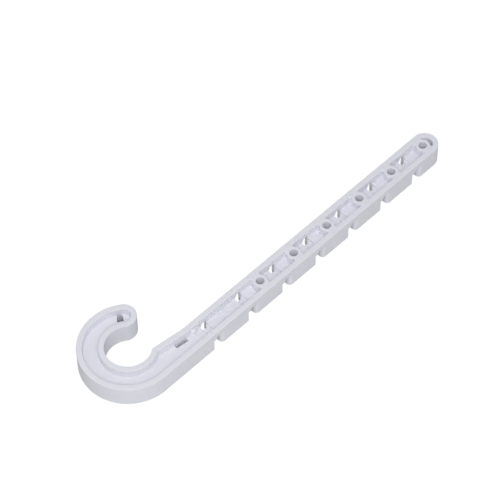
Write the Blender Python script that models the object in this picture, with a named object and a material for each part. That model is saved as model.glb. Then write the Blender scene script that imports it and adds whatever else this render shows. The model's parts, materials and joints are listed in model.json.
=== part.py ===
"""Hook-shaped pipe hanger: one plastic moulding with a long nail-on arm.

The drawing is made in plan about the pipe axis. +X runs along the arm to its tip, +Y is the
side that the hook rises on, and +Z is the open side of the channel. The finished object is
moved along X so that the origin is the middle of its footprint, on the plane it lies on.
"""

import math

import bmesh
import bpy

MM = 0.001

# Hook and arm, in plan.
BORE_RADIUS = 12.5 * MM
BAND_WIDTH = 14.4 * MM
ARM_WIDTH = 14.6 * MM
ARM_REACH = 205.9 * MM
HOOK_END_ANGLE = 54.0
THROAT_ANGLE = -52.0
THROAT_FILLET = 1.6 * MM
TAPER_END = 27.0 * MM

# Channel section.
HEIGHT = 13.2 * MM
WALL = 3.05 * MM
FLOOR_TOP = 8.1 * MM
FLOOR_THICKNESS = 3.0 * MM

# Nail holes and the bosses around them.
HOLE_COUNT = 6
HOLE_PITCH = 25.4 * MM
FIRST_HOLE = 77.0 * MM
HOLE_RADIUS = 2.3 * MM
BOSS_RADIUS = 4.05 * MM
BOSS_BLOCK = 6.0 * MM

# Snap-off notches: one more than the holes, each a set distance short of a hole.
NOTCH_COUNT = HOLE_COUNT + 1
NOTCH_SETBACK = 13.2 * MM
NOTCH_LENGTH = 5.3 * MM
NOTCH_LOW_ROOF = 7.2 * MM
NOTCH_HIGH_ROOF = 9.5 * MM
NOTCH_LOW_LENGTH = 1.3 * MM
NOTCH_RAMP = 1.4 * MM
NOTCH_CORNER = 2.35 * MM
BRIDGE_WIDTH = 4.4 * MM
BRIDGE_SPLAY = 2.0 * MM
BRIDGE_TOP = 6.9 * MM
BRIDGE_THICKNESS = 1.8 * MM
WELL_SETBACK = 0.6 * MM
END_WALL = 1.6 * MM

# Windows through the floor, and the round pad on the far wall.
SLOT_START = 19.2 * MM
SLOT_LENGTH = 7.5 * MM
SLOT_WIDTH = 1.9 * MM
END_WINDOW_ANGLES = (53.6, 63.8)
END_WINDOW_LEAN = 2.4
END_WINDOW_CORNER = 1.6 * MM
PAD_POSITION = 31.8 * MM
PAD_RADIUS = 1.7 * MM
PAD_TOP = 10.8 * MM

# How far a cutter runs past the face it opens, how finely arcs are divided, and how close
# two points must be to count as one.
OVERCUT = 1.0 * MM
ARC_STEP = 4.5
ROUND_SIDES = 32
WELD_DISTANCE = 0.01 * MM

# Sizes worked out from those above.
OUTER_RADIUS = BORE_RADIUS + BAND_WIDTH
ARM_Y = ARM_WIDTH / 2 - OUTER_RADIUS
ARM_EDGE = ARM_Y + ARM_WIDTH / 2
FLOOR_BOTTOM = FLOOR_TOP - FLOOR_THICKNESS
TIP_X = ARM_REACH + ARM_WIDTH / 2
ORIGIN_SHIFT = -(TIP_X - OUTER_RADIUS) / 2


def clear_scene():
    """Remove every object, so that the model stands alone."""
    for item in list(bpy.data.objects):
        bpy.data.objects.remove(item, do_unlink=True)


def new_collection(name):
    """Make a collection in the scene."""
    collection = bpy.data.collections.new(name)
    bpy.context.scene.collection.children.link(collection)
    return collection


def polar(radius, angle, centre=(0.0, 0.0)):
    """Point at a radius and an angle in degrees about a centre."""
    turn = math.radians(angle)
    return (centre[0] + radius * math.cos(turn), centre[1] + radius * math.sin(turn))


def arc(centre, radius, start, end):
    """Points along an arc from start to end degrees, both ends included."""
    steps = max(4, math.ceil(abs(end - start) / ARC_STEP))
    return [polar(radius, start + (end - start) * i / steps, centre) for i in range(steps + 1)]


def angle_of(point, centre=(0.0, 0.0)):
    """Direction of a point from a centre, in degrees."""
    return math.degrees(math.atan2(point[1] - centre[1], point[0] - centre[0]))


def taper_line():
    """Start of the tapered edge at the throat, and its unit direction towards the tip."""
    start = polar(BORE_RADIUS, THROAT_ANGLE)
    run = (TAPER_END - start[0], ARM_EDGE - start[1])
    length = math.hypot(*run)
    return start, (run[0] / length, run[1] / length)


def line_meets_circle(point, direction, radius):
    """Where a line going the given way leaves a circle about the pipe axis."""
    along = point[0] * direction[0] + point[1] * direction[1]
    gap = point[0] ** 2 + point[1] ** 2 - radius ** 2
    travel = -along + math.sqrt(along ** 2 - gap)
    return (point[0] + travel * direction[0], point[1] + travel * direction[1])


def throat_points(inset):
    """The rounded corner where the tapered edge meets the bore, moved in by the inset."""
    start, along = taper_line()
    inward = (along[1], -along[0])
    centre_line = (start[0] + inward[0] * THROAT_FILLET, start[1] + inward[1] * THROAT_FILLET)
    centre = line_meets_circle(centre_line, along, BORE_RADIUS + THROAT_FILLET)
    if inset < THROAT_FILLET:
        leaves = angle_of((-inward[0], -inward[1]))
        meets = angle_of((-centre[0], -centre[1]))
        return arc(centre, THROAT_FILLET - inset, leaves, meets)
    moved = (start[0] + inward[0] * inset, start[1] + inward[1] * inset)
    return [line_meets_circle(moved, along, BORE_RADIUS + inset)]


def hanger_outline(inset):
    """Outline of the whole hanger in plan, moved in from its edge by the inset."""
    half_arm = ARM_WIDTH / 2 - inset
    points = arc((ARM_REACH, ARM_Y), half_arm, -90, 90)
    start, along = taper_line()
    inward = (along[1], -along[0])
    knee_run = (ARM_EDGE - inset - start[1] - inward[1] * inset) / along[1]
    points.append((start[0] + inward[0] * inset + along[0] * knee_run, ARM_EDGE - inset))
    corner = throat_points(inset)
    points += corner
    bore_start = angle_of(corner[-1])
    points += arc((0, 0), BORE_RADIUS + inset, bore_start, HOOK_END_ANGLE - 360)[1:]
    end_centre = polar(BORE_RADIUS + BAND_WIDTH / 2, HOOK_END_ANGLE)
    end_radius = BAND_WIDTH / 2 - inset
    points += arc(end_centre, end_radius, HOOK_END_ANGLE - 180, HOOK_END_ANGLE)[1:]
    points += arc((0, 0), OUTER_RADIUS - inset, HOOK_END_ANGLE, 270)[1:]
    return points


def prism(name, points, low, high, collection):
    """Stand a plan outline up between two heights, as a closed mesh."""
    curve = bpy.data.curves.new(name + "_outline", "CURVE")
    curve.dimensions = "2D"
    curve.fill_mode = "BOTH"
    curve.extrude = (high - low) / 2
    spline = curve.splines.new("POLY")
    spline.points.add(len(points) - 1)
    for knot, (x, y) in zip(spline.points, points):
        knot.co = (x, y, 0, 1)
    spline.use_cyclic_u = True
    guide = bpy.data.objects.new(name + "_outline", curve)
    collection.objects.link(guide)
    guide.location.z = (low + high) / 2
    bpy.context.view_layer.update()
    mesh = bpy.data.meshes.new_from_object(guide.evaluated_get(bpy.context.evaluated_depsgraph_get()))
    weld(mesh)
    solid = bpy.data.objects.new(name, mesh)
    solid.matrix_world = guide.matrix_world.copy()
    collection.objects.link(solid)
    bpy.data.objects.remove(guide, do_unlink=True)
    return solid


def weld(mesh):
    """Join a curve's loose caps to its sides."""
    work = bmesh.new()
    work.from_mesh(mesh)
    bmesh.ops.remove_doubles(work, verts=work.verts, dist=WELD_DISTANCE)
    work.to_mesh(mesh)
    work.free()


def box(name, x_range, y_range, z_range, collection):
    """Rectangular block between two corners."""
    work = bmesh.new()
    bmesh.ops.create_cube(work, size=1)
    ranges = (x_range, y_range, z_range)
    for corner in work.verts:
        for axis, (low, high) in enumerate(ranges):
            corner.co[axis] = low + (corner.co[axis] + 0.5) * (high - low)
    return mesh_object(name, work, collection)


def cylinder(name, centre, radius, z_range, collection):
    """Upright round column."""
    work = bmesh.new()
    depth = z_range[1] - z_range[0]
    bmesh.ops.create_cone(work, cap_ends=True, segments=ROUND_SIDES, radius1=radius,
                          radius2=radius, depth=depth)
    bmesh.ops.translate(work, verts=work.verts, vec=(*centre, z_range[0] + depth / 2))
    return mesh_object(name, work, collection)


def mesh_object(name, work, collection):
    """Turn a bmesh into an object in a collection."""
    mesh = bpy.data.meshes.new(name)
    work.to_mesh(mesh)
    work.free()
    made = bpy.data.objects.new(name, mesh)
    collection.objects.link(made)
    return made


def combine(target, operation, collection):
    """Join a collection of tools to the target, or cut them all out of it."""
    modifier = target.modifiers.new(collection.name, "BOOLEAN")
    modifier.operation = operation
    modifier.solver = "EXACT"
    modifier.operand_type = "COLLECTION"
    modifier.collection = collection
    for tool in collection.objects:
        tool.hide_render = True
        tool.display_type = "WIRE"


def hole_positions():
    """Distance of each nail hole from the pipe axis."""
    return [FIRST_HOLE + HOLE_PITCH * i for i in range(HOLE_COUNT)]


def notch_positions():
    """Middle of each notch; the first lies a whole pitch before the one next to the first hole."""
    first = FIRST_HOLE - NOTCH_SETBACK - HOLE_PITCH * (NOTCH_COUNT - HOLE_COUNT)
    return [first + HOLE_PITCH * i for i in range(NOTCH_COUNT)]


def make_hollows(collection):
    """The open channel above the floor, and the hollow below it."""
    plan = hanger_outline(WALL)
    prism("channel_cut", plan, FLOOR_TOP, HEIGHT + OVERCUT, collection)
    prism("underside_cut", plan, -OVERCUT, FLOOR_BOTTOM, collection)


def make_bosses(collection):
    """A round boss with a straight block through it at each nail hole, from wall to wall."""
    reach = ARM_WIDTH / 2 - WALL / 2
    for number, x in enumerate(hole_positions(), 1):
        cylinder(f"boss_{number}", (x, ARM_Y), BOSS_RADIUS, (0, HEIGHT), collection)
        box(f"boss_block_{number}", (x - BOSS_BLOCK / 2, x + BOSS_BLOCK / 2),
            (ARM_Y - reach, ARM_Y + reach), (0, HEIGHT), collection)


def make_notch_walls(collection):
    """A block across the underside at each notch, which leaves a wall at each side of it."""
    reach = ARM_WIDTH / 2 - WALL / 2
    half = NOTCH_LENGTH / 2 + END_WALL
    top = FLOOR_TOP - FLOOR_THICKNESS / 2
    for number, x in enumerate(notch_positions(), 1):
        box(f"notch_wall_{number}", (x - half, x + half), (ARM_Y - reach, ARM_Y + reach),
            (0, top), collection)


def make_pad(collection):
    """The round pad that stands against the far wall of the channel."""
    centre = (PAD_POSITION, ARM_EDGE - WALL)
    cylinder("pad", centre, PAD_RADIUS, (FLOOR_BOTTOM + FLOOR_THICKNESS / 2, PAD_TOP), collection)


def notch_side_plan(low, high, side):
    """Plan of a notch in one side wall: the bridge splays out, and the tooth's corner is round."""
    outer = ARM_WIDTH / 2
    inner = BRIDGE_WIDTH / 2
    plan = [(low, inner), (high - BRIDGE_SPLAY, inner), (high, inner + BRIDGE_SPLAY)]
    plan += arc((high + NOTCH_CORNER, outer - NOTCH_CORNER), NOTCH_CORNER, 180, 90)
    plan += [(high + NOTCH_CORNER, outer + OVERCUT), (low, outer + OVERCUT)]
    return [(px, ARM_Y + side * py) for px, py in plan]


def make_notches(collection):
    """Cut each notch up through both walls, and sink a well in the floor above it."""
    half = NOTCH_LENGTH / 2
    shelf = -half + NOTCH_LOW_LENGTH + NOTCH_RAMP / 2
    channel = ARM_WIDTH / 2 - WALL
    under_bridge = BRIDGE_TOP - BRIDGE_THICKNESS
    for number, x in enumerate(notch_positions(), 1):
        box(f"notch_{number}", (x - half, x + half),
            (ARM_Y - ARM_WIDTH / 2 - OVERCUT, ARM_Y + ARM_WIDTH / 2 + OVERCUT),
            (-OVERCUT, under_bridge), collection)
        for side, word in ((1, "far"), (-1, "near")):
            low_plan = notch_side_plan(x - half, x + half, side)
            prism(f"notch_{number}_{word}_low", low_plan, -OVERCUT, NOTCH_LOW_ROOF, collection)
            high_plan = notch_side_plan(x + shelf, x + half, side)
            prism(f"notch_{number}_{word}_high", high_plan, -OVERCUT, NOTCH_HIGH_ROOF, collection)
        box(f"well_{number}", (x - half + WELL_SETBACK, x + half),
            (ARM_Y - channel, ARM_Y + channel), (BRIDGE_TOP, FLOOR_TOP + OVERCUT), collection)


def make_nail_holes(collection):
    """Run each nail hole right through its boss."""
    for number, x in enumerate(hole_positions(), 1):
        cylinder(f"nail_hole_{number}", (x, ARM_Y), HOLE_RADIUS, (-OVERCUT, HEIGHT + OVERCUT),
                 collection)


def band_face(low, high):
    """Inner face of the band's outer wall between two angles, on the flats it is drawn with."""
    steps = math.ceil((270 - HOOK_END_ANGLE) / ARC_STEP)
    step = (270 - HOOK_END_ANGLE) / steps
    joints = [HOOK_END_ANGLE + step * i for i in range(steps + 1)]
    points = []
    for angle in [low, *(joint for joint in joints if low < joint < high), high]:
        off_joint = (angle - HOOK_END_ANGLE) % step - step / 2
        flat = math.cos(math.radians(step / 2)) / math.cos(math.radians(off_joint))
        points.append(polar((OUTER_RADIUS - WALL) * flat, angle))
    return points


def end_window_plan():
    """Window from the middle of the band to its outer wall, one of its corners rounded."""
    middle = BORE_RADIUS + BAND_WIDTH / 2
    face = OUTER_RADIUS - WALL
    low, high = END_WINDOW_ANGLES
    corner_angle = low + math.degrees(END_WINDOW_CORNER / (face - END_WINDOW_CORNER))
    corner = polar(face - END_WINDOW_CORNER, corner_angle)
    rounded = arc(corner, END_WINDOW_CORNER, corner_angle - 90, corner_angle)[:-1]
    return [polar(middle, low), *rounded, *band_face(corner_angle, high - END_WINDOW_LEAN),
            polar(middle, high)]


def make_windows(collection):
    """The slot along the tapered wall, and the window near the hook's end."""
    start, along = taper_line()
    inward = (along[1], -along[0])
    z_range = (FLOOR_BOTTOM - OVERCUT, FLOOR_TOP + OVERCUT)
    corner = (start[0] + inward[0] * WALL, start[1] + inward[1] * WALL)
    travel = (SLOT_START - corner[0]) / along[0]
    first = (corner[0] + along[0] * travel, corner[1] + along[1] * travel)
    second = (first[0] + along[0] * SLOT_LENGTH, first[1] + along[1] * SLOT_LENGTH)
    sunk = [(x + inward[0] * SLOT_WIDTH, y + inward[1] * SLOT_WIDTH) for x, y in (second, first)]
    prism("slot_cut", [first, second, *sunk], *z_range, collection)
    prism("end_window_cut", end_window_plan(), *z_range, collection)


def white_plastic():
    """Satin white moulding plastic."""
    material = bpy.data.materials.new("white_plastic")
    material.use_nodes = True
    shader = material.node_tree.nodes["Principled BSDF"]
    shader.inputs["Base Color"].default_value = (0.86, 0.868, 0.925, 1.0)
    shader.inputs["Roughness"].default_value = 0.45
    shader.inputs["Metallic"].default_value = 0.0
    return material


def build_hanger():
    """Make the moulding: a filled outline, hollowed, stiffened, then notched and pierced."""
    parts = new_collection("hook_pipe_hanger")
    hollows = new_collection("hollow_cutters")
    ribs = new_collection("added_ribs")
    openings = new_collection("opening_cutters")
    hanger = prism("hook_hanger_moulding", hanger_outline(0), 0, HEIGHT, parts)
    make_hollows(hollows)
    make_bosses(ribs)
    make_notch_walls(ribs)
    make_pad(ribs)
    make_notches(openings)
    make_nail_holes(openings)
    make_windows(openings)
    combine(hanger, "DIFFERENCE", hollows)
    combine(hanger, "UNION", ribs)
    combine(hanger, "DIFFERENCE", openings)
    hanger.data.materials.append(white_plastic())
    for collection in (parts, hollows, ribs, openings):
        for item in collection.objects:
            item.location.x += ORIGIN_SHIFT
    return hanger


clear_scene()
build_hanger()
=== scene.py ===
"""White plastic hook pipe hanger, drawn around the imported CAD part.

Plans are in millimetres about the pipe axis: +X runs along the arm to its tip, +Y is the side
that the hook rises on, and +Z is out of the open side of the channel. The finished mesh is
scaled to metres and set where the CAD box says.
"""

import json
import logging
import math
from dataclasses import dataclass, field
from enum import Enum

import bmesh
import bpy
from mathutils import Matrix, Vector

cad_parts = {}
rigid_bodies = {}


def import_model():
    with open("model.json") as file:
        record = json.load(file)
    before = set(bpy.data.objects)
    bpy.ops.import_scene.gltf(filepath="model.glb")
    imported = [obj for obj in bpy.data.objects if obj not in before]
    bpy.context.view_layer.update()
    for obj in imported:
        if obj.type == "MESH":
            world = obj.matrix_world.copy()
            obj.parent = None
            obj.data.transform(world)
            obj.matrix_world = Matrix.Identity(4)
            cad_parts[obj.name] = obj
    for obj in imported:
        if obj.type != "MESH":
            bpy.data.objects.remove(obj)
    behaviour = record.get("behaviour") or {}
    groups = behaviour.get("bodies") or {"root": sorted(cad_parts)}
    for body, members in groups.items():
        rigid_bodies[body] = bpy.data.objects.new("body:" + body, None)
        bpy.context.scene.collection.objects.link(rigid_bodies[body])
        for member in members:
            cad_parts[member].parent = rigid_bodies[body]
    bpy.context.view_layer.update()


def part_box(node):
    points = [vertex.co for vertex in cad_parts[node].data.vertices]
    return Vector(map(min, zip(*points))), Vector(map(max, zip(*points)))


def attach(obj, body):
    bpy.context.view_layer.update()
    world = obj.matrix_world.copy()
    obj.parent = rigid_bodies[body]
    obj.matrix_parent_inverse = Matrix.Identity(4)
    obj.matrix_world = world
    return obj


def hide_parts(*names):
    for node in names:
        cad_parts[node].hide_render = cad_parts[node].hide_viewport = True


LOG = logging.getLogger("hanger")
NODE = "hook_hanger_moulding"
MM = 0.001
TOUCH = 0.05  # how far apart, in millimetres, two places may be and still count as touching
Point = tuple[float, float]
Colour = tuple[float, float, float]


class Side(Enum):
    """The two long walls of the arm."""

    FAR = 1
    NEAR = -1


class PocketEnd(Enum):
    """What closes a pocket of the arm at one end."""

    FLAT = "flat wall"
    BOSS = "nail boss"


class Stroke(Enum):
    """Which way a flat profile is stretched into a solid."""

    UPWARD = "plan stretched along Z"
    ACROSS = "side profile stretched along Y"


class Cut(Enum):
    """How cutters and additions meet the blank."""

    AWAY = "DIFFERENCE"
    JOIN = "UNION"


def polar(centre: Point, radius: float, angle: float) -> Point:
    """Find the point at a radius and an angle in degrees about a centre."""
    turn = math.radians(angle)
    return (centre[0] + radius * math.cos(turn), centre[1] + radius * math.sin(turn))


def angle_to(point: Point, centre: Point = (0.0, 0.0)) -> float:
    """Find the direction of a point from a centre, in degrees."""
    return math.degrees(math.atan2(point[1] - centre[1], point[0] - centre[0]))


def arc(centre: Point, radius: float, start: float, end: float, step: float = 3.0) -> list[Point]:
    """Draw an arc as points, both ends included.

    Args:
        centre: Centre of the arc.
        radius: Its radius.
        start: First angle in degrees.
        end: Last angle in degrees.
        step: Largest angle between neighbouring points.

    Returns:
        The points in order.
    """
    steps = max(4, math.ceil(abs(end - start) / step))
    return [polar(centre, radius, start + (end - start) * i / steps) for i in range(steps + 1)]


def along(point: Point, direction: Point, distance: float) -> Point:
    """Move a point some distance in a direction."""
    return (point[0] + direction[0] * distance, point[1] + direction[1] * distance)


def nearest(points: list[Point], target: Point) -> tuple[float, Point]:
    """Find the place on a polyline nearest to a point.

    Args:
        points: The polyline.
        target: The point to come close to.

    Returns:
        How far along it lies, counted in points, and the place itself.
    """
    best = (math.inf, 0.0, target)
    for i, (a, b) in enumerate(zip(points, points[1:])):
        step = (b[0] - a[0], b[1] - a[1])
        share = (target[0] - a[0]) * step[0] + (target[1] - a[1]) * step[1]
        share = min(1.0, max(0.0, share / (step[0] ** 2 + step[1] ** 2)))
        place = along(a, step, share)
        best = min(best, (math.dist(place, target), i + share, place))
    return best[1], best[2]


def follow(points: list[Point], first: Point, last: Point) -> list[Point]:
    """Follow a polyline between the places on it nearest to two points.

    Args:
        points: The polyline.
        first: Point near where the stretch begins.
        last: Point near where it ends.

    Returns:
        The stretch, from the first place to the last.
    """
    begin, end = nearest(points, first), nearest(points, last)
    low, high = sorted((begin[0], end[0]))
    between = [p for i, p in enumerate(points) if low < i < high]
    if begin[0] > end[0]:
        between.reverse()
    return [begin[1], *between, end[1]]


@dataclass(frozen=True)
class HangerPlan:
    """Outline of the hook and the arm in plan.

    The bore, the band round it and the rounded end make the hook; the near edge of the arm
    leaves the band as a tangent, and the far edge tapers down to the arm from the throat.
    """

    bore_radius: float = 12.5
    band_width: float = 14.4
    arm_width: float = 14.6
    arm_reach: float = 205.9
    hook_end: float = 54.0
    throat: float = -52.0
    throat_fillet: float = 1.6
    taper_end: float = 27.0
    knee_radius: float = 18.0

    @property
    def outer_radius(self) -> float:
        """Outside radius of the hook's band."""
        return self.bore_radius + self.band_width

    @property
    def arm_y(self) -> float:
        """Where the middle of the arm lies."""
        return self.arm_width / 2 - self.outer_radius

    @property
    def tip(self) -> float:
        """Where the arm ends."""
        return self.arm_reach + self.arm_width / 2

    def taper(self) -> tuple[Point, Point, Point]:
        """Set out the tapered edge.

        Returns:
            Its start on the bore, its direction to the arm, and the direction into the part.
        """
        start = polar((0.0, 0.0), self.bore_radius, self.throat)
        end = (self.taper_end, self.arm_y + self.arm_width / 2)
        length = math.dist(start, end)
        run = ((end[0] - start[0]) / length, (end[1] - start[1]) / length)
        return start, run, (run[1], -run[0])

    def leave_circle(self, point: Point, direction: Point, radius: float) -> Point:
        """Find where a line going the given way leaves a circle about the pipe axis.

        Args:
            point: A point on the line, inside the circle.
            direction: The way it goes, of unit length.
            radius: Radius of the circle.

        Returns:
            The place where it leaves.
        """
        ahead = point[0] * direction[0] + point[1] * direction[1]
        gap = point[0] ** 2 + point[1] ** 2 - radius ** 2
        return along(point, direction, -ahead + math.sqrt(ahead ** 2 - gap))

    def throat_corner(self, inset: float) -> list[Point]:
        """Draw the corner where the tapered edge meets the bore, moved in by an inset.

        Args:
            inset: How far inside the outline the corner is drawn.

        Returns:
            An arc, or a single point where the inset has used the fillet up.
        """
        start, run, inward = self.taper()
        if inset < self.throat_fillet:
            middle = along(start, inward, self.throat_fillet)
            centre = self.leave_circle(middle, run, self.bore_radius + self.throat_fillet)
            leaves = angle_to((-inward[0], -inward[1]))
            meets = angle_to((-centre[0], -centre[1]))
            return arc(centre, self.throat_fillet - inset, leaves, meets, 12.0)
        return [self.leave_circle(along(start, inward, inset), run, self.bore_radius + inset)]

    def knee(self, inset: float) -> list[Point]:
        """Draw the soft bend between the arm's far edge and the tapered edge.

        Args:
            inset: How far inside the outline the bend is drawn.

        Returns:
            The bend's arc, from the arm to the taper.
        """
        start, run, inward = self.taper()
        edge = self.arm_y + self.arm_width / 2 - inset
        moved = along(start, inward, inset)
        corner = along(moved, run, (edge - moved[1]) / run[1])
        radius = self.knee_radius + inset
        half_turn = math.asin(-run[1]) / 2
        centre = (corner[0] + radius * math.tan(half_turn), edge + radius)
        return arc(centre, radius, -90, -90 - math.degrees(2 * half_turn), 2.0)

    def hook_side(self, inset: float) -> list[Point]:
        """Draw the edge from the knee, round the bore and the hook's end, to the near edge.

        Args:
            inset: How far inside the outline the edge is drawn.

        Returns:
            Points along the edge.
        """
        corner = self.throat_corner(inset)
        end_centre = polar((0.0, 0.0), self.bore_radius + self.band_width / 2, self.hook_end)
        end_radius = self.band_width / 2 - inset
        points = self.knee(inset) + corner
        points += arc((0.0, 0.0), self.bore_radius + inset, angle_to(corner[-1]),
                      self.hook_end - 360)[1:]
        points += arc(end_centre, end_radius, self.hook_end - 180, self.hook_end, 6.0)[1:]
        points += arc((0.0, 0.0), self.outer_radius - inset, self.hook_end, 270)[1:]
        return points

    def outline(self) -> list[Point]:
        """Draw the whole outside edge."""
        tip = arc((self.arm_reach, self.arm_y), self.arm_width / 2, -90, 90)
        return tip + self.hook_side(0.0)


@dataclass(frozen=True)
class Section:
    """Heights and thicknesses of the moulding across the channel."""

    height: float = 13.2
    wall: float = 3.05
    floor_top: float = 8.1
    floor_thickness: float = 3.0
    overcut: float = 1.0

    @property
    def floor_bottom(self) -> float:
        """Underside of the channel's floor."""
        return self.floor_top - self.floor_thickness


@dataclass(frozen=True)
class Profile:
    """A closed flat profile and how far it is stretched into a solid."""

    name: str
    points: list[Point]
    low: float
    high: float
    stroke: Stroke = Stroke.UPWARD

    def corner(self, point: Point, level: float) -> tuple[float, float, float]:
        """Place a profile point at one end of the stroke.

        Args:
            point: The point in the flat profile.
            level: How far along the stroke it stands.

        Returns:
            Its place in space.
        """
        if self.stroke is Stroke.UPWARD:
            return (point[0], point[1], level)
        return (point[0], level, point[1])

    def solid(self) -> bpy.types.Object:
        """Stretch the profile into a closed mesh object.

        Returns:
            The object, linked into the scene.
        """
        work = bmesh.new()
        rings = [[work.verts.new(self.corner(p, level)) for p in self.points]
                 for level in (self.low, self.high)]
        for ring in rings:
            work.faces.new(ring)
        count = len(self.points)
        for i in range(count):
            j = (i + 1) % count
            work.faces.new((rings[0][i], rings[0][j], rings[1][j], rings[1][i]))
        bmesh.ops.recalc_face_normals(work, faces=work.faces)
        mesh = bpy.data.meshes.new(self.name)
        work.to_mesh(mesh)
        work.free()
        made = bpy.data.objects.new(self.name, mesh)
        bpy.context.scene.collection.objects.link(made)
        return made


@dataclass(frozen=True)
class NailBosses:
    """The row of nail holes, each in a round boss with a block from wall to wall."""

    plan: HangerPlan
    section: Section
    count: int = 6
    pitch: float = 25.4
    first: float = 77.0
    hole_radius: float = 2.3
    boss_radius: float = 4.05
    block_length: float = 6.0

    def positions(self) -> list[float]:
        """Distance of each hole from the pipe axis."""
        return [self.first + self.pitch * i for i in range(self.count)]

    @property
    def half_block(self) -> float:
        """Half the length of a boss's block."""
        return self.block_length / 2

    @property
    def bulge_angle(self) -> float:
        """How far round the boss its curve meets the face of the block, in degrees."""
        return math.degrees(math.acos(self.half_block / self.boss_radius))

    def face(self, x: float, heading: int) -> list[Point]:
        """Draw the boss's bulging face, from its +Y end to its -Y end.

        Args:
            x: Position of the hole.
            heading: 1 for the face towards the tip, -1 for the one towards the hook.

        Returns:
            Points along the face.
        """
        spread = self.bulge_angle
        centre = (x, self.plan.arm_y)
        if heading > 0:
            return arc(centre, self.boss_radius, spread, -spread, 7.0)
        return arc(centre, self.boss_radius, 180 - spread, 180 + spread, 7.0)

    def holes(self) -> list[Profile]:
        """Cutters for the nail holes.

        Returns:
            One round cutter for each boss, right through the part.
        """
        reach = self.section.overcut
        return [
            Profile(f"nail_hole_{i}", arc((x, self.plan.arm_y), self.hole_radius, 0, 352.5, 7.5),
                    -reach, self.section.height + reach)
            for i, x in enumerate(self.positions(), 1)
        ]


@dataclass(frozen=True)
class SnapNotches:
    """The notches where the arm snaps to length, and the bridge left across each."""

    plan: HangerPlan
    section: Section
    bosses: NailBosses
    setback: float = 13.2
    length: float = 5.3
    low_roof: float = 7.2
    high_roof: float = 9.5
    low_run: float = 1.3
    ramp_run: float = 1.4
    corner_radius: float = 2.35
    bridge_width: float = 4.4
    bridge_top: float = 6.9
    bridge_thickness: float = 1.8
    bridge_splay: float = 2.05
    well_setback: float = 0.6
    end_wall: float = 1.6
    lap: float = 0.5

    def positions(self) -> list[float]:
        """Middle of each notch; there is one more of them than of the nail holes."""
        first = self.bosses.first - self.setback - self.bosses.pitch
        return [first + self.bosses.pitch * i for i in range(self.bosses.count + 1)]

    @property
    def half(self) -> float:
        """Half the length of a notch."""
        return self.length / 2

    @property
    def half_blocked(self) -> float:
        """Half of the stretch that the notch and its end walls take from the underside."""
        return self.half + self.end_wall

    def side_profile(self, x: float) -> list[Point]:
        """Draw the notch as seen from the side: a low roof, a ramp and a high roof.

        Args:
            x: Middle of the notch.

        Returns:
            The closed side profile.
        """
        left, right = x - self.half, x + self.half
        low_end = left + self.low_run
        return [(left, -self.section.overcut), (right, -self.section.overcut),
                (right, self.high_roof), (low_end + self.ramp_run, self.high_roof),
                (low_end, self.low_roof), (left, self.low_roof)]

    def tooth_corner(self, x: float, side: Side) -> list[Point]:
        """Draw what is taken off the upright corner of the tooth on the tip's side of a notch.

        Args:
            x: Middle of the notch.
            side: Which wall the tooth belongs to.

        Returns:
            The plan of the cutter, which leaves a round corner standing.
        """
        outer, radius = self.plan.arm_width / 2, self.corner_radius
        past = self.section.overcut
        corner = [(-past, outer + past), (-past, outer - radius)]
        corner += arc((radius, outer - radius), radius, 180, 90, 11.0)
        corner.append((radius, outer + past))
        return [(x + self.half + px, self.plan.arm_y + side.value * py) for px, py in corner]

    def splays(self) -> list[Profile]:
        """Corner webs that widen each bridge towards the tip until it meets both walls.

        Returns:
            Two webs for each notch, which lap into the bridge and the wall.
        """
        made = []
        foot, reach = self.bridge_width / 2 - self.lap, self.bridge_splay + 2 * self.lap
        for i, x in enumerate(self.positions(), 1):
            back = x + self.half + self.lap
            for side in Side:
                flat = [(back - reach, foot), (back, foot), (back, foot + reach)]
                web = [(px, self.plan.arm_y + side.value * py) for px, py in flat]
                made.append(Profile(f"splay_{i}_{side.name.lower()}", web,
                                    self.bridge_top - self.bridge_thickness, self.bridge_top))
        return made

    def at_roof_crease(self, edge: bmesh.types.BMEdge) -> bool:
        """Tell whether an edge is the hidden crease where a tooth meets the notch's roof.

        Args:
            edge: An edge of the cut moulding.

        Returns:
            Whether it is such a crease.
        """
        a, b = (v.co for v in edge.verts)
        if edge.is_convex or max(abs(a.z - self.high_roof), abs(b.z - self.high_roof)) > TOUCH:
            return False
        middle = (a.x + b.x) / 2
        return any(-TOUCH < middle - x - self.half < self.corner_radius for x in self.positions())

    def cutters(self) -> list[Profile]:
        """Cutters for the gaps in both walls, the way under the bridge and the sunk floor.

        Returns:
            All the cutters of all the notches.
        """
        made = []
        y = self.plan.arm_y
        outside = self.plan.arm_width / 2 + self.section.overcut
        channel = self.plan.arm_width / 2 - self.section.wall
        under = self.bridge_top - self.bridge_thickness
        for i, x in enumerate(self.positions(), 1):
            left, right = x - self.half, x + self.half
            for side in Side:
                ends = sorted((y + side.value * self.bridge_width / 2, y + side.value * outside))
                name = f"{i}_{side.name.lower()}"
                made.append(Profile(f"notch_{name}", self.side_profile(x), ends[0], ends[1],
                                    Stroke.ACROSS))
                made.append(Profile(f"tooth_{name}", self.tooth_corner(x, side),
                                    -self.section.overcut, self.high_roof))
            below = [(left, -self.section.overcut), (right, -self.section.overcut),
                     (right, under), (left, under)]
            reach = self.bridge_width / 2 + self.lap
            made.append(Profile(f"under_bridge_{i}", below, y - reach, y + reach, Stroke.ACROSS))
            sunk = [(left + self.well_setback, y - channel), (right, y - channel),
                    (right, y + channel), (left + self.well_setback, y + channel)]
            made.append(Profile(f"well_{i}", sunk, self.bridge_top,
                                self.section.floor_top + self.section.overcut))
        return made


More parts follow.
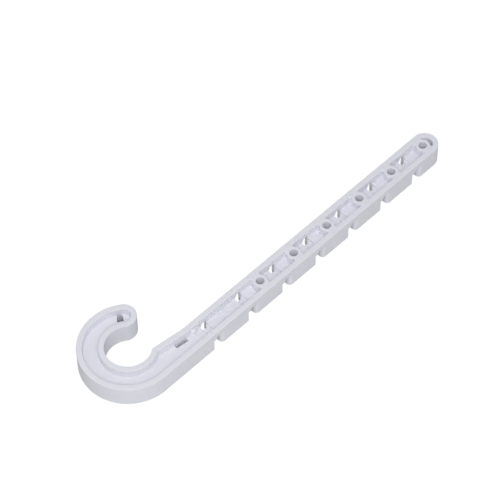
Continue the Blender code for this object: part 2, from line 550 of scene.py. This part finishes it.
@dataclass(frozen=True)
class ArmPockets:
    """The pockets of the channel above the floor, and the hollows under it."""

    plan: HangerPlan
    section: Section
    bosses: NailBosses
    notches: SnapNotches

    @property
    def half(self) -> float:
        """Half the width between the walls."""
        return self.plan.arm_width / 2 - self.section.wall

    def end(self, x: float, kind: PocketEnd, heading: int) -> list[Point]:
        """Draw one end of a pocket, from its +Y corner to its -Y corner.

        Args:
            x: Where the flat part of the end stands.
            kind: What closes the pocket there.
            heading: 1 where the end faces the tip, -1 where it faces the hook.

        Returns:
            Points along the end.
        """
        y = self.plan.arm_y
        points = [(x, y + self.half)]
        if kind is PocketEnd.BOSS:
            points += self.bosses.face(x - heading * self.bosses.half_block, heading)
        points.append((x, y - self.half))
        return points

    def between(self, left: tuple[float, PocketEnd], right: tuple[float, PocketEnd]) -> list[Point]:
        """Draw a pocket between two ends of the arm."""
        return self.end(*right, -1) + self.end(*left, 1)[::-1]

    def hook_pocket(self, right: tuple[float, PocketEnd]) -> list[Point]:
        """Draw the pocket that runs round the hook and ends in the arm."""
        return self.end(*right, -1)[::-1] + self.plan.hook_side(self.section.wall)

    def tip_pocket(self) -> list[Point]:
        """Draw the crescent between the last boss and the tip's wall.

        Returns:
            The closed plan of the crescent.
        """
        x = self.bosses.positions()[-1] + self.bosses.half_block
        spread = math.degrees(math.acos((x - self.plan.arm_reach) / self.half))
        tip = arc((self.plan.arm_reach, self.plan.arm_y), self.half, -spread, spread, 6.0)
        return tip + self.bosses.face(self.bosses.positions()[-1], 1)

    def stops(self, with_notches: bool) -> list[tuple[float, float, PocketEnd]]:
        """List what crosses the channel, as its two faces and its kind, from the hook on.

        Args:
            with_notches: Whether the notches' end walls are counted too.

        Returns:
            Face towards the hook, face towards the tip, and kind, for each of them.
        """
        reach = self.bosses.half_block
        found = [(x - reach, x + reach, PocketEnd.BOSS) for x in self.bosses.positions()]
        if with_notches:
            reach = self.notches.half_blocked
            found += [(x - reach, x + reach, PocketEnd.FLAT) for x in self.notches.positions()]
        return sorted(found, key=lambda stop: stop[0])

    def row(self, name: str, low: float, high: float, with_notches: bool) -> list[Profile]:
        """Make the cutters of every pocket at one side of the floor.

        Args:
            name: Start of each cutter's name.
            low: Lower end of the cutters.
            high: Upper end of the cutters.
            with_notches: Whether the notches' end walls cross the channel here.

        Returns:
            One cutter for each pocket.
        """
        stops = self.stops(with_notches)
        plans = [self.hook_pocket((stops[0][0], stops[0][2]))]
        for before, after in zip(stops, stops[1:]):
            plans.append(self.between((before[1], before[2]), (after[0], after[2])))
        plans.append(self.tip_pocket())
        return [Profile(f"{name}_{i}", points, low, high) for i, points in enumerate(plans, 1)]

    def cutters(self) -> list[Profile]:
        """Cutters for all the pockets and hollows."""
        reach = self.section.overcut
        top = self.row("pocket", self.section.floor_top, self.section.height + reach, False)
        return top + self.row("hollow", -reach, self.section.floor_bottom, True)


@dataclass(frozen=True)
class FloorWindows:
    """The slot beside the tapered wall, the window near the hook's end, and the round pad.

    The slot and the window stop a thin skin short of the wall's face, so that no two faces of
    the moulding lie on each other where they are cut.
    """

    plan: HangerPlan
    section: Section
    slot_start: float = 19.2
    slot_length: float = 7.5
    slot_width: float = 1.9
    window_sides: tuple[float, float] = (53.6, 63.8)
    window_lean: float = 2.4
    window_corner: float = 1.6
    pad_position: float = 31.8
    pad_radius: float = 1.7
    pad_top: float = 10.8
    skin: float = 0.02

    def slot(self) -> list[Point]:
        """Draw the slot, its far side on the face of the tapered wall.

        Returns:
            The slot's closed plan.
        """
        start, run, inward = self.plan.taper()
        wall_line = along(start, inward, self.section.wall)
        first = along(wall_line, run, (self.slot_start - wall_line[0]) / run[0])
        second = along(first, run, self.slot_length)
        face = follow(self.plan.hook_side(self.section.wall + self.skin), first, second)
        return [*face, along(second, inward, self.slot_width),
                along(first, inward, self.slot_width)]

    def window(self) -> list[Point]:
        """Draw the window, from the middle of the band to the face of its outer wall.

        Returns:
            The window's closed plan, with one round corner.
        """
        origin = (0.0, 0.0)
        middle = self.plan.bore_radius + self.plan.band_width / 2
        wall_face = self.plan.outer_radius - self.section.wall
        low, high = self.window_sides
        turn = low + math.degrees(self.window_corner / (wall_face - self.window_corner))
        corner = arc(polar(origin, wall_face - self.window_corner, turn),
                     self.window_corner - self.skin, turn - 90, turn, 9.0)
        face = follow(self.plan.hook_side(self.section.wall + self.skin), corner[-1],
                      polar(origin, wall_face, high - self.window_lean))
        return [polar(origin, middle, low), *corner[:-1], *face, polar(origin, middle, high)]

    def cutters(self) -> list[Profile]:
        """Cutters for the slot and the window.

        Returns:
            The two cutters, right through the floor.
        """
        low = self.section.floor_bottom - self.section.overcut
        high = self.section.floor_top + self.section.overcut
        return [Profile("slot", self.slot(), low, high),
                Profile("window", self.window(), low, high)]

    def at_pad_foot(self, edge: bmesh.types.BMEdge) -> bool:
        """Tell whether an edge is one of the creases between the pad and the far wall.

        Args:
            edge: An edge of the cut moulding.

        Returns:
            Whether it is such a crease.
        """
        y = self.plan.arm_y + self.plan.arm_width / 2 - self.section.wall
        reach = self.pad_radius + TOUCH
        return all(abs(v.co.y - y) < TOUCH and abs(v.co.x - self.pad_position) < reach
                   and v.co.z < self.pad_top + TOUCH for v in edge.verts)

    def pad(self) -> Profile:
        """The round pad that stands against the far wall."""
        y = self.plan.arm_y + self.plan.arm_width / 2 - self.section.wall
        return Profile("pad", arc((self.pad_position, y), self.pad_radius, 0, 350, 10.0),
                       self.section.floor_bottom + self.section.floor_thickness / 2, self.pad_top)


@dataclass(frozen=True)
class SatinPlastic:
    """White moulding plastic with a satin skin and a faint cool tint."""

    name: str = "satin_white_plastic"
    colour: Colour = (0.86, 0.868, 0.925)
    colour_drift: float = 0.03
    drift_size: float = 14.0 * MM
    roughness: float = 0.42
    roughness_drift: float = 0.10
    grain_size: float = 0.5 * MM
    grain_depth: float = 0.012 * MM
    grain_strength: float = 0.6
    shine: float = 0.4
    glow: float = 0.5
    glow_depth: float = 1.3 * MM
    glow_spread: Colour = (1.0, 0.95, 0.9)

    def make(self) -> bpy.types.Material:
        """Build the node material.

        Returns:
            The material, with colour drift, roughness drift and a fine moulded grain.
        """
        material = bpy.data.materials.new(self.name)
        material.use_nodes = True
        tree = material.node_tree
        shader = tree.nodes["Principled BSDF"]
        shader.inputs["Metallic"].default_value = 0.0
        shader.inputs["Specular IOR Level"].default_value = self.shine
        shader.inputs["Subsurface Weight"].default_value = self.glow
        shader.inputs["Subsurface Radius"].default_value = self.glow_spread
        shader.inputs["Subsurface Scale"].default_value = self.glow_depth
        place = tree.nodes.new("ShaderNodeTexCoord").outputs["Object"]
        drift = self.noise(tree, place, self.drift_size, 3.0)
        shade = tree.nodes.new("ShaderNodeMapRange")
        tree.links.new(drift, shade.inputs["Value"])
        shade.inputs["To Min"].default_value = 1.0 - self.colour_drift
        shade.inputs["To Max"].default_value = 1.0 + self.colour_drift
        tint = tree.nodes.new("ShaderNodeVectorMath")
        tint.operation = "SCALE"
        tint.inputs[0].default_value = self.colour
        tree.links.new(shade.outputs["Result"], tint.inputs["Scale"])
        tree.links.new(tint.outputs["Vector"], shader.inputs["Base Color"])
        rub = self.noise(tree, place, self.drift_size / 4, 5.0)
        polish = tree.nodes.new("ShaderNodeMapRange")
        tree.links.new(rub, polish.inputs["Value"])
        polish.inputs["To Min"].default_value = self.roughness - self.roughness_drift
        polish.inputs["To Max"].default_value = self.roughness + self.roughness_drift
        tree.links.new(polish.outputs["Result"], shader.inputs["Roughness"])
        grain = self.noise(tree, place, self.grain_size, 2.0)
        bump = tree.nodes.new("ShaderNodeBump")
        bump.inputs["Strength"].default_value = self.grain_strength
        bump.inputs["Distance"].default_value = self.grain_depth
        tree.links.new(grain, bump.inputs["Height"])
        tree.links.new(bump.outputs["Normal"], shader.inputs["Normal"])
        return material

    @staticmethod
    def noise(tree: bpy.types.NodeTree, place: bpy.types.NodeSocket, size: float,
              detail: float) -> bpy.types.NodeSocket:
        """Add a noise texture whose blotches have the given size.

        Args:
            tree: The material's nodes.
            place: Where on the part the noise is looked up.
            size: Size of a blotch in metres.
            detail: How many finer layers are added.

        Returns:
            The noise, from 0 to 1.
        """
        node = tree.nodes.new("ShaderNodeTexNoise")
        node.inputs["Scale"].default_value = 1.0 / size
        node.inputs["Detail"].default_value = detail
        tree.links.new(place, node.inputs["Vector"])
        return node.outputs["Fac"]


@dataclass
class HangerMoulding:
    """The whole moulding as one closed, edge-rounded mesh."""

    plan: HangerPlan = field(default_factory=HangerPlan)
    section: Section = field(default_factory=Section)
    edge_radius: float = 0.28
    edge_angle: float = 28.0
    crease_angle: float = 55.0
    weld_distance: float = 0.002
    flat_angle: float = 0.3
    finish: SatinPlastic = field(default_factory=SatinPlastic)

    def __post_init__(self) -> None:
        """Set out the sub-assemblies that share this plan and section."""
        self.bosses = NailBosses(self.plan, self.section)
        self.notches = SnapNotches(self.plan, self.section, self.bosses)
        self.pockets = ArmPockets(self.plan, self.section, self.bosses, self.notches)
        self.windows = FloorWindows(self.plan, self.section)

    def evaluated(self, target: bpy.types.Object) -> None:
        """Replace an object's mesh with what its modifiers make of it.

        Args:
            target: The object, left with no modifiers.
        """
        graph = bpy.context.evaluated_depsgraph_get()
        mesh = bpy.data.meshes.new_from_object(target.evaluated_get(graph))
        target.modifiers.clear()
        target.data = mesh

    def combine(self, target: bpy.types.Object, profiles: list[Profile], cut: Cut) -> None:
        """Cut profiles away from the target, or join them to it.

        Args:
            target: The blank.
            profiles: What is cut away or joined.
            cut: Which of the two.
        """
        tools = bpy.data.collections.new(cut.name.lower())
        bpy.context.scene.collection.children.link(tools)
        for profile in profiles:
            tool = profile.solid()
            bpy.context.scene.collection.objects.unlink(tool)
            tools.objects.link(tool)
        modifier = target.modifiers.new(cut.name, "BOOLEAN")
        modifier.operation = cut.value
        modifier.solver = "EXACT"
        modifier.operand_type = "COLLECTION"
        modifier.collection = tools
        self.evaluated(target)
        for tool in list(tools.objects):
            bpy.data.objects.remove(tool, do_unlink=True)
        bpy.data.collections.remove(tools)

    def clean(self, target: bpy.types.Object) -> None:
        """Merge points that lie together and flat neighbouring faces, and mark edges to round.

        Args:
            target: The cut moulding, in millimetres.
        """
        work = bmesh.new()
        work.from_mesh(target.data)
        bmesh.ops.remove_doubles(work, verts=work.verts, dist=self.weld_distance)
        bmesh.ops.dissolve_limit(work, angle_limit=math.radians(self.flat_angle),
                                 verts=work.verts, edges=work.edges)
        weight = work.edges.layers.float.new("bevel_weight_edge")
        for edge in work.edges:
            sharp = edge.calc_face_angle(0.0) > math.radians(self.edge_angle)
            crease = self.notches.at_roof_crease(edge) or self.windows.at_pad_foot(edge)
            edge[weight] = float(sharp and not crease)
        work.to_mesh(target.data)
        work.free()

    def round_edges(self, target: bpy.types.Object) -> None:
        """Give every marked edge a small radius.

        Args:
            target: The moulding, its edges marked with a bevel weight.
        """
        bevel = target.modifiers.new("edge_radius", "BEVEL")
        bevel.width = self.edge_radius
        bevel.segments = 3
        bevel.limit_method = "WEIGHT"
        bevel.use_clamp_overlap = False
        self.evaluated(target)

    def shade(self, target: bpy.types.Object) -> None:
        """Shade the rounded edges smoothly and keep the flat faces flat.

        Args:
            target: The moulding, its edges rounded.
        """
        for face in target.data.polygons:
            face.use_smooth = True
        target.data.set_sharp_from_angle(angle=math.radians(self.crease_angle))
        target.modifiers.new("flat_faces_stay_flat", "WEIGHTED_NORMAL").keep_sharp = True
        self.evaluated(target)

    def build(self) -> bpy.types.Object:
        """Make the moulding in the row frame.

        Returns:
            The finished object, in metres, with its material.
        """
        low, _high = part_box(NODE)
        piece = Profile("hanger_moulding", self.plan.outline(), 0.0, self.section.height).solid()
        self.combine(piece, self.pockets.cutters(), Cut.AWAY)
        self.combine(piece, [self.windows.pad()], Cut.JOIN)
        self.combine(piece, self.notches.cutters() + self.bosses.holes(), Cut.AWAY)
        self.combine(piece, self.notches.splays(), Cut.JOIN)
        self.clean(piece)
        self.round_edges(piece)
        self.combine(piece, self.windows.cutters(), Cut.AWAY)
        self.shade(piece)
        pipe_axis = low + Vector((self.plan.outer_radius, self.plan.outer_radius, 0)) * MM
        piece.data.transform(Matrix.Translation(pipe_axis) @ Matrix.Scale(MM, 4))
        piece.data.materials.clear()
        piece.data.materials.append(self.finish.make())
        return piece


@dataclass(frozen=True)
class SoftLamp:
    """A square soft light that faces the part."""

    name: str
    place: tuple[float, float, float]
    size: float
    power: float
    colour: Colour

    def hang(self) -> bpy.types.Object:
        """Put the light in the scene.

        Returns:
            The lamp.
        """
        data = bpy.data.lights.new(self.name, "AREA")
        data.size = self.size
        data.energy = self.power
        data.color = self.colour
        lamp = bpy.data.objects.new(self.name, data)
        lamp.location = self.place
        lamp.rotation_euler = Vector(self.place).to_track_quat("Z", "Y").to_euler()
        bpy.context.scene.collection.objects.link(lamp)
        return lamp


SOFTBOX = SoftLamp("softbox", (-0.56, -0.59, 1.15), 0.55, 8.2, (1.0, 0.99, 0.985))
SIDE_CARD = SoftLamp("side_card", (-0.34, -0.45, 0.14), 0.3, 0.15, (1.0, 0.98, 0.96))


@dataclass(frozen=True)
class Studio:
    """A plain white floor, soft light from all round, and the camera."""

    azimuth: float = -44.6
    elevation: float = 53.46
    roll: float = -1.08
    distance: float = 1.278
    target: tuple[float, float, float] = (0.00117, 0.00469, 0.0)
    lens: float = 171.65
    shift: Point = (-0.001, 0.001)
    far_limit: float = 20.0
    floor_size: float = 6.0
    floor_gap: float = 0.2 * MM
    floor_reflectance: float = 0.62
    floor_light: float = 1.05
    floor_glow: float = 0.95
    sky: Colour = (0.968, 0.976, 1.02)
    sky_strength: float = 0.46
    lamps: tuple[SoftLamp, ...] = (SOFTBOX, SIDE_CARD)

    def camera(self) -> bpy.types.Object:
        """Set the camera at the viewing angle and make it the scene's own.

        Returns:
            The camera.
        """
        turn, rise = math.radians(self.azimuth), math.radians(self.elevation)
        back = Vector((math.sin(turn) * math.cos(rise), -math.cos(turn) * math.cos(rise),
                       math.sin(rise)))
        level = Vector((math.cos(turn), math.sin(turn), 0))
        lean = Matrix.Rotation(math.radians(self.roll), 3, back)
        right = lean @ level
        up = back.cross(right)
        data = bpy.data.cameras.new("camera")
        data.sensor_width = 36.0
        data.lens = self.lens
        data.shift_x, data.shift_y = self.shift
        data.clip_end = self.far_limit
        camera = bpy.data.objects.new("camera", data)
        bpy.context.scene.collection.objects.link(camera)
        frame = Matrix((right, up, back)).transposed().to_4x4()
        frame.translation = Vector(self.target) + back * self.distance
        camera.matrix_world = frame
        bpy.context.scene.camera = camera
        return camera

    def floor(self) -> bpy.types.Object:
        """Lay the floor just under the part, seen as lit white but lighting it like grey card.

        Returns:
            The floor.
        """
        work = bmesh.new()
        bmesh.ops.create_grid(work, x_segments=1, y_segments=1, size=self.floor_size / 2)
        mesh = bpy.data.meshes.new("floor")
        work.to_mesh(mesh)
        work.free()
        floor = bpy.data.objects.new("floor", mesh)
        floor.location.z = -self.floor_gap
        bpy.context.scene.collection.objects.link(floor)
        material = bpy.data.materials.new("lit_white_floor")
        material.use_nodes = True
        tree = material.node_tree
        card = tree.nodes["Principled BSDF"]
        card.inputs["Base Color"].default_value = (*[self.floor_reflectance] * 3, 1.0)
        card.inputs["Roughness"].default_value = 0.9
        card.inputs["Specular IOR Level"].default_value = 0.1
        glow = tree.nodes.new("ShaderNodeEmission")
        glow.inputs["Strength"].default_value = self.floor_light
        seen = tree.nodes.new("ShaderNodeMath")
        seen.operation = "MULTIPLY"
        seen.inputs[1].default_value = self.floor_glow
        tree.links.new(tree.nodes.new("ShaderNodeLightPath").outputs["Is Camera Ray"],
                       seen.inputs[0])
        mix = tree.nodes.new("ShaderNodeMixShader")
        tree.links.new(seen.outputs["Value"], mix.inputs["Fac"])
        tree.links.new(card.outputs["BSDF"], mix.inputs[1])
        tree.links.new(glow.outputs["Emission"], mix.inputs[2])
        tree.links.new(mix.outputs["Shader"], tree.nodes["Material Output"].inputs["Surface"])
        mesh.materials.append(material)
        return floor

    def light(self) -> None:
        """Fill the room with soft cool light and hang the lamps."""
        world = bpy.data.worlds.new("soft_white_room")
        world.use_nodes = True
        sky = world.node_tree.nodes["Background"]
        sky.inputs["Color"].default_value = (*self.sky, 1.0)
        sky.inputs["Strength"].default_value = self.sky_strength
        bpy.context.scene.world = world
        for lamp in self.lamps:
            lamp.hang()
        bpy.context.scene.view_settings.view_transform = "Standard"


def main() -> None:
    """Build the moulding round the CAD frame, then the studio."""
    logging.basicConfig(level=logging.INFO, format="%(name)s: %(message)s")
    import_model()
    piece = HangerMoulding().build()
    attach(piece, "root")
    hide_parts(NODE)
    LOG.info("%s: %d faces", piece.name, len(piece.data.polygons))
    studio = Studio()
    studio.floor()
    studio.light()
    studio.camera()


if __name__ == "__main__":
    main()
